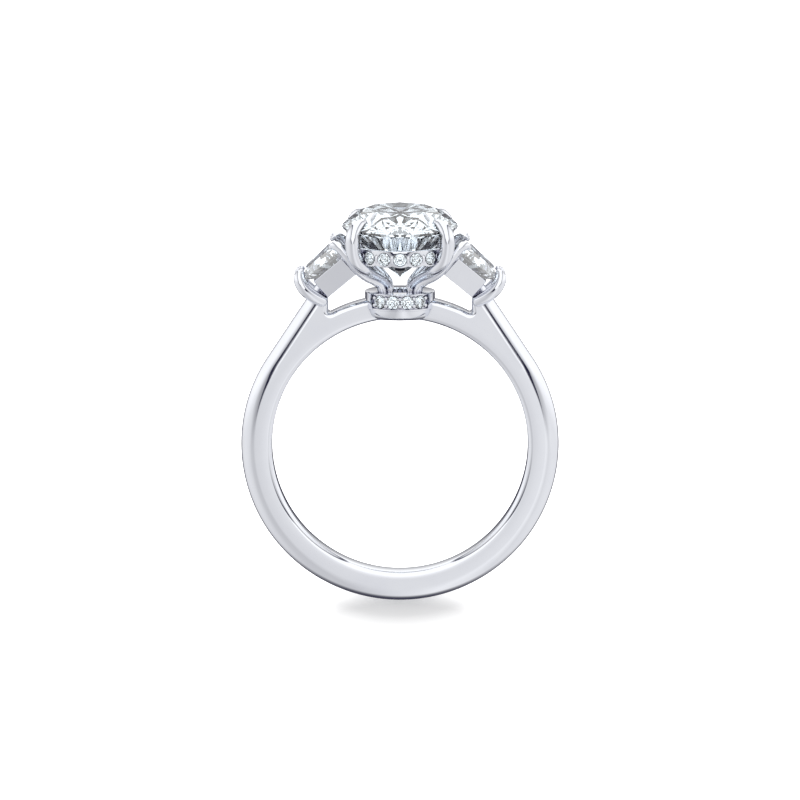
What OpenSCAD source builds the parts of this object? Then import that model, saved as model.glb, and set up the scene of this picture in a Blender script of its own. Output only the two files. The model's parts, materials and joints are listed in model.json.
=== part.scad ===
// A three stone ring: an oval centre stone with a trapezoid stone on each side.
// It is drawn upright, with the finger hole along Y and the stones at +Z, and is then
// laid on its side, where it rests on the band and on the end of the oval stone.

/* [Band] */
// Inside diameter of the finger hole
hole_d = 16.5; // [15.5:0.1:18]
// Thickness of the band, from the finger outwards
band_t = 2.0; // [1.8:0.05:2.3]
// Width of the band along the finger
band_w = 1.8; // [1.6:0.05:2.1]
// Rounding of the two edges that touch the finger
comfort_r = 0.33; // [0.25:0.01:0.4]

/* [Shoulders and rail] */
// Angle above the middle of the finger hole where a shoulder leaves the round
shoulder_angle = 33.5; // [31:0.5:36]
// Thickness of the rail over the finger
rail_t = 1.43; // [1.3:0.01:1.55]
// Softened outer edges of the rail
rail_edge = 0.08; // [0.04:0.01:0.12]
// Distance from the middle of the ring to the outer wall of a window
window_x = 4.62; // [4.5:0.01:4.8]
// Height of that wall between the rail and the side basket
window_h = 1.15; // [1:0.05:1.3]

/* [Collar] */
// Diameter of the collar under the centre stone
collar_d = 4.5; // [4.3:0.05:4.7]
// Height of the collar above the finger hole
collar_h = 1.75; // [1.65:0.01:1.85]
// Diameter of the hole down the middle of the collar
collar_hole_d = 2.24; // [2:0.02:2.3]
// Plain edge above and below the channel of stones
collar_edge = 0.08; // [0.05:0.01:0.12]
// Depth of the channel of stones
channel_depth = 0.1; // [0.06:0.01:0.14]
// Height of the rounded lip below the channel
lip_h = 0.68; // [0.6:0.01:0.74]
// How far the lip draws in at its foot
lip_draw = 0.55; // [0.4:0.01:0.6]
// How far its foot stands back from the finger
foot_back = 0.02; // [0.01:0.01:0.05]

/* [Centre stone] */
// Width of the oval across the finger
centre_w = 7.44; // [7.2:0.02:7.7]
// Length of the oval along the finger
centre_l = 10.1; // [9.8:0.05:10.4]
// Height of its girdle above the collar
centre_rise = 4.1; // [4:0.02:4.3]
// Height of its crown
centre_crown = 1.08; // [0.95:0.01:1.2]
// Thickness of its girdle
centre_girdle = 0.14; // [0.1:0.01:0.18]
// Depth of its pavilion
centre_pavilion = 3.27; // [3.1:0.01:3.4]
// Share of the width that the table takes
table_share = 0.6; // [0.55:0.01:0.64]

/* [Centre claws] */
// Thickness of a centre claw
claw_d = 0.96; // [0.9:0.01:1]
// Direction of the claws, as an angle from the width of the ring
claw_azimuth = 50.2; // [49:0.2:51]
// Distance from the girdle's edge out to the middle of a claw
claw_stand = 0.35; // [0.3:0.01:0.37]
// Distance from the middle of the collar to the foot of a claw
claw_root = 1.1; // [1.1:0.01:1.2]

/* [Hidden halo] */
// Width of the halo rail
halo_w = 6.7; // [6.6:0.02:6.8]
// Length of the halo rail
halo_l = 9.1; // [8.9:0.02:9.14]
// Height of the halo rail
halo_h = 1.24; // [1.1:0.01:1.3]
// Height of the halo rail's foot above the collar
halo_rise = 1.86; // [1.8:0.01:1.95]
// Thickness of the halo rail at its top
halo_wall_top = 0.27; // [0.22:0.01:0.3]
// Thickness of the halo rail at its foot
halo_wall_foot = 0.6; // [0.5:0.01:0.65]
// Diameter of a halo stone
halo_stone_d = 0.82; // [0.74:0.01:0.84]
// Angle round the oval from one halo stone to the next
halo_step = 17.8; // [17:0.1:19]

/* [Collar stones] */
// Diameter of a collar stone
collar_stone_d = 0.84; // [0.76:0.01:0.86]
// Angle round the collar from one collar stone to the next
collar_step = 24.2; // [23.6:0.1:25]

/* [Side stones] */
// Length of a side stone, down its slope
side_l = 2.8; // [2.7:0.02:2.9]
// Width of its end beside the centre stone
side_wide = 4.6; // [4.4:0.02:4.8]
// Width of its outer end
side_narrow = 2.2; // [2.1:0.02:2.3]
// Slope of the side stone, down and outwards
side_tilt = 42; // [41:0.5:43]
// Height of its crown
side_crown = 0.45; // [0.4:0.01:0.5]
// Thickness of its girdle
side_girdle = 0.06; // [0.04:0.01:0.08]
// Depth of its pavilion
side_pavilion = 1.2; // [1.1:0.01:1.25]
// Cut of its four corners
side_corner = 0.16; // [0.12:0.01:0.2]

/* [Side baskets] */
// Height of a basket's walls
basket_h = 1.4; // [1.35:0.01:1.45]
// Thickness of a basket's walls
basket_wall = 0.3; // [0.26:0.01:0.34]
// Height of the side stone's girdle above the walls
side_rise = 0.42; // [0.38:0.01:0.46]
// Overhang of the stone past the outer wall
basket_out = 0.25; // [0.2:0.01:0.3]
// Overhang of the stone past the inner wall
basket_in = 0.12; // [0.1:0.01:0.16]
// Overhang of the stone past the front and back walls
basket_side = 0.08; // [0.05:0.01:0.1]
// Thickness of an outer claw
outer_claw_d = 0.82; // [0.76:0.01:0.86]
// Thickness of an inner claw
inner_claw_d = 0.68; // [0.62:0.01:0.74]

/* [Grains and gaps] */
// Diameter of a grain or column between small stones
grain_d = 0.28; // [0.22:0.01:0.3]
// How far a grain or column stands proud
grain_proud = 0.1; // [0.06:0.01:0.14]
// Gap between a stone and its metal
gap = 0.03; // [0.02:0.005:0.04]

/* [Hidden] */

metal_colour = "#DCDDE3";
stone_colour = "#EEF4F6";

// Facets of round surfaces, and the sides of a claw
$fn = 128;
claw_sides = 12;

// Band: the round of the finger, its half width and the middle of its half-round outside
hole_r = hole_d / 2;
half_w = band_w / 2;
band_r = hole_r + band_t;
round_r = band_r - half_w;
rail_r = hole_r + rail_t;
edge_r = hole_r + comfort_r;

// Heights above the middle of the finger hole
collar_r = collar_d / 2;
collar_top = hole_r + collar_h;
channel_foot = hole_r + lip_h + collar_edge;
channel_top = collar_top - collar_edge;
girdle_z = collar_top + centre_rise;
halo_foot = collar_top + halo_rise;
halo_stone_z = halo_foot + halo_h * 0.56;
collar_stone_z = (channel_foot + channel_top) / 2;

// Half sizes of the centre stone and of the halo rail
centre_a = centre_w / 2;
centre_b = centre_l / 2;
halo_a = halo_w / 2;
halo_b = halo_l / 2;

// Side basket: its outer lower corner, on the window's wall, and its length
basket_x = window_x;
basket_z = sqrt(rail_r * rail_r - window_x * window_x) + window_h;
basket_l = side_l - basket_out - basket_in;
side_flare = (side_wide - side_narrow) / 2 / side_l;
side_girdle_n = basket_h + side_rise;

// Small stones, as shares of their diameter
small_crown = 0.15;
small_girdle = 0.03;
small_pavilion = 0.42;
small_table = 0.57;

// Laid on its side, the ring leans by the angle at which the end of the oval's girdle and
// the half-round outside of the band reach the floor together
lean_arm = sqrt(pow(girdle_z + round_r, 2) + centre_b * centre_b);
lean = atan(centre_b / (girdle_z + round_r)) - asin(half_w / lean_arm);
floor_lift = round_r * sin(lean) + half_w;

// Its farthest points along Y when it lies: the table's far corner and the band's outside
table_z = girdle_z + centre_girdle + centre_crown;
far_y = table_z * cos(lean) + centre_b * table_share * sin(lean);
near_y = -(round_r * cos(lean) + half_w);
floor_shift = -(far_y + near_y) / 2;

// Claw routes. Centre claw: share of the girdle's height above the collar, share of the way
// out from the root to the girdle, share of the claw's thickness
centre_route = [
    [-0.07, 0.00, 0.62],
    [0.01, 0.00, 0.62],
    [0.10, 0.02, 0.60],
    [0.20, 0.16, 0.60],
    [0.285, 0.34, 0.64],
    [0.36, 0.53, 0.74],
    [0.44, 0.71, 0.88],
    [0.55, 0.87, 0.97],
    [0.68, 0.965, 1.00],
    [0.82, 1.00, 1.00],
    [0.94, 0.99, 1.00],
    [1.03, 0.93, 1.00],
    [1.10, 0.83, 0.90],
    [1.13, 0.74, 0.72]];

// Outer claw: share of the basket's height, distance out from the stone's end and across
// from its corner as shares of the claw's thickness, share of that thickness
outer_route = [
    [0.06, 0.20, -0.25, 0.92],
    [0.30, 0.36, -0.10, 0.98],
    [0.62, 0.52, 0.06, 1.00],
    [0.95, 0.60, 0.14, 1.00],
    [1.28, 0.54, 0.14, 0.98],
    [1.52, 0.38, 0.04, 0.88],
    [1.66, 0.12, -0.12, 0.70],
    [1.68, -0.08, -0.24, 0.50]];

// Inner claw beside the stone, with the same columns as the outer claw
inner_route = [
    [0.72, 0.42, 0.12, 1.00],
    [1.12, 0.46, 0.16, 1.00],
    [1.46, 0.42, 0.10, 0.96],
    [1.67, 0.16, -0.06, 0.84],
    [1.70, -0.10, -0.20, 0.58]];

// Inner claw below the stone: share of the way out and of the way up from its root in the
// collar to the basket, share of its thickness. The root's place is in shares of the collar's radius
inner_stem = [
    [0.00, -0.06, 0.84],
    [0.08, 0.19, 0.84],
    [0.25, 0.34, 0.86],
    [0.44, 0.44, 0.88],
    [0.63, 0.58, 0.94],
    [0.80, 0.75, 1.00]];
inner_root = [0.49, 0.498];

// Point at share t of a smooth curve through the rows of a table
function row(table, i) = table[max(0, min(len(table) - 1, i))];
function curve(table, t) =
    let (s = t * (len(table) - 1), i = min(floor(s), len(table) - 2), f = s - i,
         a = row(table, i - 1), b = row(table, i), c = row(table, i + 1), d = row(table, i + 2))
    0.5 * (2 * b + (c - a) * f + (2 * a - 5 * b + 4 * c - d) * f * f + (3 * b - a - 3 * c + d) * f * f * f);
function unit(v) = v / norm(v);
function first3(r) = [r[0], r[1], r[2]];

// A round bar along rows of x, y, z and radius, with a domed cap on each end
module bar(rows, steps) {
    sides = claw_sides;
    path = [for (i = [0:steps]) curve(rows, i / steps)];
    dirs = [for (i = [0:steps])
        unit(first3(path[min(steps, i + 1)]) - first3(path[max(0, i - 1)]))];
    caps = [0, 35, 65];
    head = [for (c = [2:-1:1]) [first3(path[0]) - dirs[0] * path[0][3] * sin(caps[c]),
                                dirs[0], path[0][3] * cos(caps[c])]];
    body = [for (i = [0:steps]) [first3(path[i]), dirs[i], path[i][3]]];
    tail = [for (c = [1:2]) [first3(path[steps]) + dirs[steps] * path[steps][3] * sin(caps[c]),
                             dirs[steps], path[steps][3] * cos(caps[c])]];
    rings = concat(head, body, tail);
    side = unit(cross(dirs[0], [0, 0, 1]) + [0.001, 0, 0]);
    count = len(rings);
    points = concat(
        [for (r = rings) let (u = unit(side - r[1] * (side * r[1])), v = cross(r[1], u))
            for (k = [0:sides - 1]) r[0] + r[2] * (u * cos(360 * k / sides) + v * sin(360 * k / sides))],
        [rings[0][0] - rings[0][1] * rings[0][2] * 0.45,
         rings[count - 1][0] + rings[count - 1][1] * rings[count - 1][2] * 0.45]);
    faces = concat(
        [for (j = [0:count - 2], k = [0:sides - 1]) let (n = (k + 1) % sides)
            [j * sides + k, (j + 1) * sides + k, (j + 1) * sides + n, j * sides + n]],
        [for (k = [0:sides - 1]) [count * sides, k, (k + 1) % sides]],
        [for (k = [0:sides - 1]) [count * sides + 1, (count - 1) * sides + (k + 1) % sides,
                                  (count - 1) * sides + k]]);
    polyhedron(points, faces, convexity = 6);
}

// A solid lofted through closed outlines of equal length, the lowest first
module loft(layers) {
    n = len(layers[0]);
    top = (len(layers) - 1) * n;
    points = [for (layer = layers, p = layer) p];
    sides = [for (j = [0:len(layers) - 2], k = [0:n - 1]) let (m = (k + 1) % n)
        [j * n + k, (j + 1) * n + k, (j + 1) * n + m, j * n + m]];
    polyhedron(points, concat([[for (k = [0:n - 1]) k]], sides, [[for (k = [n - 1:-1:0]) top + k]]),
               convexity = 4);
}

// An oval or round brilliant: table, 8 stars, 8 kites, upper and lower girdle facets, 8 mains.
// Its girdle starts at z = 0 and has 16 sides for each step of fine.
module brilliant(a, b, crown, girdle, pavilion, table, fine) {
    g = 16 * fine;
    q = g / 8;
    star = (table * cos(22.5) + 1) / 2;
    star_z = girdle + crown * (1 - star * cos(22.5)) / (1 - table);
    low = 0.22;
    low_z = -pavilion * (1 - low * cos(22.5));
    first_girdle = 16;
    first_under = 16 + g;
    first_low = 16 + 2 * g;
    culet = first_low + 8;
    points = concat(
        [for (i = [0:7]) [a * table * cos(45 * i), b * table * sin(45 * i), girdle + crown]],
        [for (i = [0:7]) [a * star * cos(45 * i + 22.5), b * star * sin(45 * i + 22.5), star_z]],
        [for (i = [0:g - 1]) [a * cos(360 * i / g), b * sin(360 * i / g), girdle]],
        [for (i = [0:g - 1]) [a * cos(360 * i / g), b * sin(360 * i / g), 0]],
        [for (i = [0:7]) [a * low * cos(45 * i + 22.5), b * low * sin(45 * i + 22.5), low_z]],
        [[0, 0, -pavilion]]);
    faces = concat(
        [[for (i = [7:-1:0]) i]],
        [for (i = [0:7]) [i, (i + 1) % 8, 8 + i]],
        [for (i = [0:7]) [i, 8 + i, first_girdle + i * q]],
        [for (i = [0:7]) [i, first_girdle + i * q, 8 + (i + 7) % 8]],
        [for (i = [0:7], j = [0:q - 1])
            [8 + i, first_girdle + (i * q + j + 1) % g, first_girdle + i * q + j]],
        [for (k = [0:g - 1]) [first_girdle + k, first_girdle + (k + 1) % g, first_under + (k + 1) % g]],
        [for (k = [0:g - 1]) [first_girdle + k, first_under + (k + 1) % g, first_under + k]],
        [for (i = [0:7], j = [0:q - 1])
            [first_low + i, first_under + i * q + j, first_under + (i * q + j + 1) % g]],
        [for (i = [0:7]) [culet, first_low + (i + 7) % 8, first_under + i * q]],
        [for (i = [0:7]) [culet, first_under + i * q, first_low + i]]);
    polyhedron(points, faces, convexity = 2);
}

// Outline of a side stone at height z, drawn in by inset: x runs from the outer end inwards
function side_half(x) = side_narrow / 2 + side_flare * x;
function side_outline(inset, z, c) =
    let (near = inset, far = side_l - inset,
         slant = inset * sqrt(1 + side_flare * side_flare))
    [[near, -(side_half(near) - slant - c), z], [near + c, -(side_half(near + c) - slant), z],
     [far - c, -(side_half(far - c) - slant), z], [far, -(side_half(far) - slant - c), z],
     [far, side_half(far) - slant - c, z], [far - c, side_half(far - c) - slant, z],
     [near + c, side_half(near + c) - slant, z], [near, side_half(near) - slant - c, z]];

// A side stone grown by g on every face: step cut, with its girdle at z = 0
module side_form(g) {
    deep = side_l * 0.46;
    loft([
        side_outline(deep - g, -side_pavilion - g, side_corner * 0.2),
        side_outline(deep * 0.66 - g, -side_pavilion * 0.74 - g, side_corner * 0.5),
        side_outline(deep * 0.32 - g, -side_pavilion * 0.4 - g, side_corner * 0.8),
        side_outline(-g, -g, side_corner),
        side_outline(-g, side_girdle + g, side_corner),
        side_outline(side_crown * 0.42 - g, side_girdle + side_crown * 0.6 + g, side_corner * 0.9),
        side_outline(side_crown * 0.95 - g, side_girdle + side_crown + g, side_corner * 0.8)]);
}

// A small round stone's seat: a cone for its pavilion and a straight wall round its crown
module small_seat(d) {
    r = d / 2 + gap;
    rotate_extrude($fn = 32)
        polygon([[0, -small_pavilion * d - gap], [r, -gap],
                 [r, (small_girdle + small_crown) * d + gap],
                 [0, (small_girdle + small_crown) * d + gap]]);
}

module small_stone(d) {
    brilliant(d / 2, d / 2, small_crown * d, small_girdle * d, small_pavilion * d, small_table, 1);
}

// Places on the halo rail and on the collar, with +Z pointing out of the metal
function halo_spot(angle, grow) = [(halo_a + grow) * sin(angle), -(halo_b + grow) * cos(angle)];
module on_halo(angle, back, z) {
    p = halo_spot(angle, 0);
    out = atan2(-cos(angle) / halo_b, sin(angle) / halo_a);
    rotate([0, 0, back ? 180 : 0]) translate([p[0], p[1], z]) rotate([0, 90, out]) children();
}
module on_collar(angle, back, z) {
    rotate([0, 0, (back ? 90 : -90) + angle]) translate([collar_r - channel_depth, 0, z])
        rotate([0, 90, 0]) children();
}
module halo_place(i) {
    on_halo(((i - 1) % 5 - 2) * halo_step, i > 5, halo_stone_z) children();
}
module collar_place(i) {
    on_collar(((i - 1) % 4 - 1.5) * collar_step, i > 4, collar_stone_z) children();
}

// Half-round outline of the band from radius inner outwards
module half_round(inner) {
    translate([inner, -half_w]) square([round_r - inner, band_w]);
    intersection() {
        translate([round_r, 0]) circle(r = half_w);
        translate([round_r, -half_w]) square([half_w, band_w]);
    }
}

// The full circle round the finger, with its two softened edges
module finger_ring() {
    rotate([90, 0, 0]) rotate_extrude() union() {
        translate([edge_r, -half_w]) square([round_r - edge_r, band_w]);
        translate([hole_r, -half_w + comfort_r]) square([edge_r - hole_r, band_w - 2 * comfort_r]);
        for (s = [-1, 1]) intersection() {
            translate([edge_r, s * (half_w - comfort_r)]) circle(r = comfort_r);
            translate([hole_r, s > 0 ? half_w - comfort_r : -half_w])
                square([comfort_r, comfort_r]);
        }
    }
}

// The half-round outside of the band, below the shoulders
module band_back() {
    sweep = 180 + 2 * shoulder_angle;
    rotate([90, 0, 0]) rotate([0, 0, 180 - shoulder_angle])
        rotate_extrude(angle = sweep) half_round(edge_r);
}

// The bridge over the finger, between the shoulders
module rail() {
    rotate([90, 0, 0]) rotate([0, 0, shoulder_angle - 3])
        rotate_extrude(angle = 186 - 2 * shoulder_angle)
            polygon([[edge_r, -half_w], [rail_r - rail_edge, -half_w], [rail_r, -half_w + rail_edge],
                     [rail_r, half_w - rail_edge], [rail_r - rail_edge, half_w], [edge_r, half_w]]);
}

// Frame of a side basket: x up its slope towards the centre stone, z out of the basket,
// with the origin at the outer lower corner of its walls
module side_frame(s) {
    mirror([s > 0 ? 0 : 1, 0, 0]) translate([basket_x, 0, basket_z])
        rotate([0, side_tilt, 0]) mirror([1, 0, 0]) children();
}

// The straight shoulder, cut off by the window and by the basket's outer wall
module shoulder(s) {
    reach = window_h + rail_r;
    mirror([s > 0 ? 0 : 1, 0, 0]) difference() {
        rotate([0, -shoulder_angle, 0])
            linear_extrude(height = reach) half_round(edge_r);
        translate([window_x - reach, -band_w, 0]) cube([reach, 2 * band_w, 2 * reach]);
        translate([basket_x, 0, basket_z]) rotate([0, side_tilt, 0])
            translate([-reach - basket_wall / 2, -band_w, -window_h])
                cube([reach, 2 * band_w, 2 * reach]);
    }
}

// Drum under the centre stone: rim, two channels for stones, and a rounded lip below
module collar() {
    draw = collar_r - channel_depth;
    steps = 8;
    lip = [for (i = [0:steps]) let (t = 90 * i / steps)
        [draw - lip_draw * (1 - cos(t)), hole_r + lip_h - lip_h * sin(t)]];
    difference() {
        union() {
            translate([0, 0, hole_r + lip_h])
                cylinder(r = collar_r, h = collar_h - lip_h);
            rotate_extrude()
                polygon(concat([[0, hole_r + lip_h + collar_edge], [draw, hole_r + lip_h + collar_edge]],
                               lip, [[draw - lip_draw, hole_r - lip_h], [0, hole_r - lip_h]]));
        }
        rotate([90, 0, 0]) cylinder(r = hole_r + foot_back, h = 4 * collar_r, center = true);
        for (back = [0, 1]) rotate([0, 0, 180 * back - 90 - 2.2 * collar_step])
            rotate_extrude(angle = 4.4 * collar_step)
                translate([collar_r - channel_depth, channel_foot])
                    square([2 * channel_depth, channel_top - channel_foot]);
    }
}

// Claw over the centre stone, at one of the four corners
module centre_claw(sx, sy) {
    edge = 1 / sqrt(pow(cos(claw_azimuth) / centre_a, 2) + pow(sin(claw_azimuth) / centre_b, 2));
    reach = edge + claw_stand - claw_root;
    bar([for (r = centre_route) let (out = claw_root + reach * r[1])
        [sx * out * cos(claw_azimuth), sy * out * sin(claw_azimuth),
         collar_top + centre_rise * r[0], claw_d / 2 * r[2]]], 18);
}

// Oval rail under the girdle of the centre stone
module halo_rail() {
    n = 64;
    profile = [[-halo_wall_foot, 0], [0, 0], [0, halo_h], [-halo_wall_top, halo_h]];
    points = [for (i = [0:n - 1], p = profile) let (s = halo_spot(360 * i / n, p[0]))
        [s[0], s[1], halo_foot + p[1]]];
    faces = [for (i = [0:n - 1], k = [0:3]) let (j = (i + 1) % n, m = (k + 1) % 4)
        [4 * i + k, 4 * i + m, 4 * j + m, 4 * j + k]];
    polyhedron(points, faces, convexity = 4);
}

// Metal raised between the small stones: upright columns on the halo, pairs of grains on the
// collar
module halo_columns() {
    tall = halo_stone_d * 0.62;
    for (back = [false, true], i = [0:5])
        on_halo((i - 2.5) * halo_step, back, halo_stone_z)
            translate([-tall / 2, 0, grain_proud - grain_d / 2]) rotate([0, 90, 0])
                cylinder(d = grain_d, h = tall, $fn = 24);
}
module collar_grains() {
    for (back = [false, true], i = [0:4], s = [-1, 1])
        on_collar((i - 2) * collar_step, back, collar_stone_z + s * collar_stone_d * 0.28)
            translate([0, 0, -grain_proud]) cylinder(d = grain_d, h = 2 * grain_proud, $fn = 24);
}

// Four-walled gallery under a side stone
module side_basket(s) {
    function wall(x, inset) = side_half(x + basket_out) - basket_side - inset;
    side_frame(s) linear_extrude(height = basket_h) difference() {
        polygon([[0, -wall(0, 0)], [basket_l, -wall(basket_l, 0)],
                 [basket_l, wall(basket_l, 0)], [0, wall(0, 0)]]);
        polygon([[basket_wall, -wall(basket_wall, basket_wall)],
                 [basket_l - basket_wall, -wall(basket_l - basket_wall, basket_wall)],
                 [basket_l - basket_wall, wall(basket_l - basket_wall, basket_wall)],
                 [basket_wall, wall(basket_wall, basket_wall)]]);
    }
}

module outer_claw(s, sy) {
    d = outer_claw_d;
    side_frame(s) bar([for (r = outer_route)
        [-basket_out - d * r[1], sy * (side_narrow / 2 + d * r[2]), basket_h * r[0], d / 2 * r[3]]], 10);
}

// A point of the side frame in the ring's own frame
function from_side(p) = [basket_x - p[0] * cos(side_tilt) + p[2] * sin(side_tilt), p[1],
                         basket_z + p[0] * sin(side_tilt) + p[2] * cos(side_tilt)];

module inner_claw(s, sy) {
    d = inner_claw_d;
    upper = [for (r = inner_route) let (p = from_side([side_l - basket_out + d * r[1],
                                                      side_wide / 2 + d * r[2], basket_h * r[0]]))
        [s * p[0], sy * p[1], p[2], d / 2 * r[3]]];
    knee = upper[0];
    root = [s * collar_r * inner_root[0], sy * collar_r * inner_root[1], collar_top];
    stem = [for (r = inner_stem)
        [root[0] + (knee[0] - root[0]) * r[0], root[1] + (knee[1] - root[1]) * r[0],
         root[2] + (knee[2] - root[2]) * r[1], d / 2 * r[2]]];
    bar(concat(stem, upper), 18);
}

// Moves from the upright ring to the ring on its side
module lay() {
    translate([0, floor_shift, floor_lift]) rotate([lean - 90, 0, 0]) children();
}

module centre_stone_form(g) {
    translate([0, 0, girdle_z - g])
        brilliant(centre_a + g, centre_b + g, centre_crown, centre_girdle + 2 * g,
                  centre_pavilion + g, table_share, 2);
}

module side_stone_form(s, g) {
    side_frame(s) translate([-basket_out, 0, side_girdle_n]) side_form(g);
}

// Band, rail, shoulders and collar
module lower_metal() {
    difference() {
        union() {
            finger_ring();
            band_back();
            rail();
            shoulder(-1);
            shoulder(1);
            collar();
            collar_grains();
        }
        translate([0, 0, hole_r - lip_h])
            cylinder(d = collar_hole_d, h = collar_h + 2 * lip_h);
        for (i = [1:8]) collar_place(i) small_seat(collar_stone_d);
    }
}

// Claws, baskets and halo rail, notched by the stones that they hold
module upper_metal() {
    difference() {
        union() {
            halo_rail();
            halo_columns();
            for (s = [-1, 1]) {
                side_basket(s);
                for (sy = [-1, 1]) {
                    centre_claw(s, sy);
                    outer_claw(s, sy);
                    inner_claw(s, sy);
                }
            }
        }
        centre_stone_form(gap);
        side_stone_form(-1, gap);
        side_stone_form(1, gap);
        for (i = [1:10]) halo_place(i) small_seat(halo_stone_d);
    }
}

module mounting() {
    color(metal_colour) lay() union() {
        lower_metal();
        upper_metal();
    }
}

module centre_stone() { color(stone_colour) lay() centre_stone_form(0); }
module side_stone(s) { color(stone_colour) lay() side_stone_form(s, 0); }
module halo_stone(i) { color(stone_colour) lay() halo_place(i) small_stone(halo_stone_d); }
module collar_stone(i) { color(stone_colour) lay() collar_place(i) small_stone(collar_stone_d); }

mounting();
centre_stone();
side_stone(-1);  // side_stone_left
side_stone(1);  // side_stone_right
for (i = [1:10]) halo_stone(i);
for (i = [1:8]) collar_stone(i);
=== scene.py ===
"""The looks of a three stone ring in polished white gold and diamond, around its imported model.

Shapes are worked out for the upright ring: millimetres, the finger hole along Y with its
middle at the origin, and the centre stone at +Z. RingFrame lays them on their side, in metres,
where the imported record's mount says.
"""
import json
import logging
import math
from collections.abc import Sequence
from dataclasses import dataclass, field
from enum import Enum

import bmesh
import bpy
import numpy as np
from mathutils import Matrix, Vector


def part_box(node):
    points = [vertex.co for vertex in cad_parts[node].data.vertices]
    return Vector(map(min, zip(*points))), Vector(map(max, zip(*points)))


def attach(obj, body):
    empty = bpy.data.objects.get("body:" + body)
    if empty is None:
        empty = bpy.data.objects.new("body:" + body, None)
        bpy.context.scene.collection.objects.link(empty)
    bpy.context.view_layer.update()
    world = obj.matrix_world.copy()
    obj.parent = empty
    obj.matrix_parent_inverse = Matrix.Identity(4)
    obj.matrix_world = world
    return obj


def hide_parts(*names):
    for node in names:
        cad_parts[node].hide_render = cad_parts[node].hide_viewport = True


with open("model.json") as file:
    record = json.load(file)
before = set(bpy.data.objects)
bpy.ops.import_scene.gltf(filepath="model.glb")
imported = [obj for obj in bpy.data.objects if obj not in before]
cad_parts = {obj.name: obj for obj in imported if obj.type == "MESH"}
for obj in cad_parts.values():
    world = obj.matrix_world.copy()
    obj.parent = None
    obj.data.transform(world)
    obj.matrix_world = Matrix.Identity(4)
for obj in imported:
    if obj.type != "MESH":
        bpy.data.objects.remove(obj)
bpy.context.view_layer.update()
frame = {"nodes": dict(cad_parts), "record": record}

log = logging.getLogger("three_stone_ring")
Array = np.ndarray
Stops = tuple[tuple[float, float], ...]
Link = str | tuple[str, str | int]

MM = 0.001
# Points that lie closer than this are one point
WELD = 0.0006 * MM
# The ring's X axis in the row's frame, since the ring leans about X alone
CROSS = (1.0, 0.0, 0.0)
# Height of a small stone's crown and depth of its pavilion, as shares of its diameter
CROWN_SHARE = 0.18
PAVILION_SHARE = 0.42


class Side(Enum):
    """The two sides of the ring, by the sign of X."""

    LEFT = -1
    RIGHT = 1


class Face(Enum):
    """The two faces of the ring, by the sign of Y. The camera sees the front."""

    FRONT = -1
    BACK = 1


@dataclass(frozen=True)
class RingFrame:
    """Where the upright ring of the drawings lies in the row frame."""

    origin: Array
    finger: Array
    upward: Array

    @classmethod
    def from_record(cls, record: dict) -> "RingFrame":
        """Reads the finger hole's middle and axis. The upright ring's X is the row's own X.

        Args:
            record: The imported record.

        Returns:
            The frame that the record's first mount gives.
        """
        mount = record["mounts"][0]
        finger = np.array(mount["axis"], float)
        finger /= np.linalg.norm(finger)
        return cls(np.array(mount["pos_m"], float), finger, np.array([0.0, -finger[2], finger[1]]))

    def turn(self, points: Array) -> Array:
        """Turns directions, or points in metres, from the upright ring's axes to the row's."""
        return (points[..., :1] * np.array(CROSS) + points[..., 1:2] * self.finger
                + points[..., 2:] * self.upward)

    def place(self, points: Array) -> Array:
        """Lays points in millimetres down in the row frame, in metres."""
        return self.origin + MM * self.turn(points)


@dataclass(frozen=True)
class RingSizes:
    """Sizes that several pieces share, in millimetres, from the upright ring's drawing."""

    # The band: finger hole, half its width, where its half-round outside begins, and the rail
    hole_r: float = 8.25
    half_w: float = 0.9
    round_r: float = 9.35
    rail_r: float = 9.68
    # The collar, and half the width and depth of the centre stone
    collar_r: float = 2.25
    collar_hole_r: float = 1.12
    collar_top: float = 10.0
    channel_depth: float = 0.1
    centre_a: float = 3.72
    centre_b: float = 5.05
    # The lower outer corner of the side basket, its slope, and the side stone and basket on it
    window_x: float = 4.62
    basket_z: float = 9.6563
    side_tilt: float = 42.0
    side_l: float = 2.8
    side_wide: float = 4.6
    side_narrow: float = 2.2
    basket_h: float = 1.4
    basket_out: float = 0.25
    # The room that a stone has in its seat
    gap: float = 0.03

    def side_half(self, x: Array | float) -> Array | float:
        """Half the width of a side stone at the distance x from its outer end."""
        return self.side_narrow / 2 + (self.side_wide - self.side_narrow) / 2 / self.side_l * x

    def from_side(self, points: Array) -> Array:
        """Brings points of the right basket's own frame into the ring's, tilted by t.

        A point lands at (window_x - x cos t + z sin t, y, basket_z + x sin t + z cos t).

        Args:
            points: Rows of x up the slope, y along the finger and z out of the basket.

        Returns:
            The same rows in the ring's frame.
        """
        tilt = math.radians(self.side_tilt)
        x, y, z = points[..., 0], points[..., 1], points[..., 2]
        return np.stack([self.window_x - x * math.cos(tilt) + z * math.sin(tilt), y,
                         self.basket_z + x * math.sin(tilt) + z * math.cos(tilt)], -1)


@dataclass
class Patch:
    """A piece of surface: its points in millimetres and its faces, one array for each count."""

    points: Array
    faces: list[Array]

    def flipped(self, axis: int) -> "Patch":
        """Mirrors the patch across a plane through the ring's middle.

        Args:
            axis: The coordinate that changes its sign: 0, 1 or 2.

        Returns:
            The mirrored patch, with its faces turned round so that they still look outwards.
        """
        points = self.points.copy()
        points[:, axis] *= -1
        return Patch(points, [block[:, ::-1] for block in self.faces])


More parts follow.
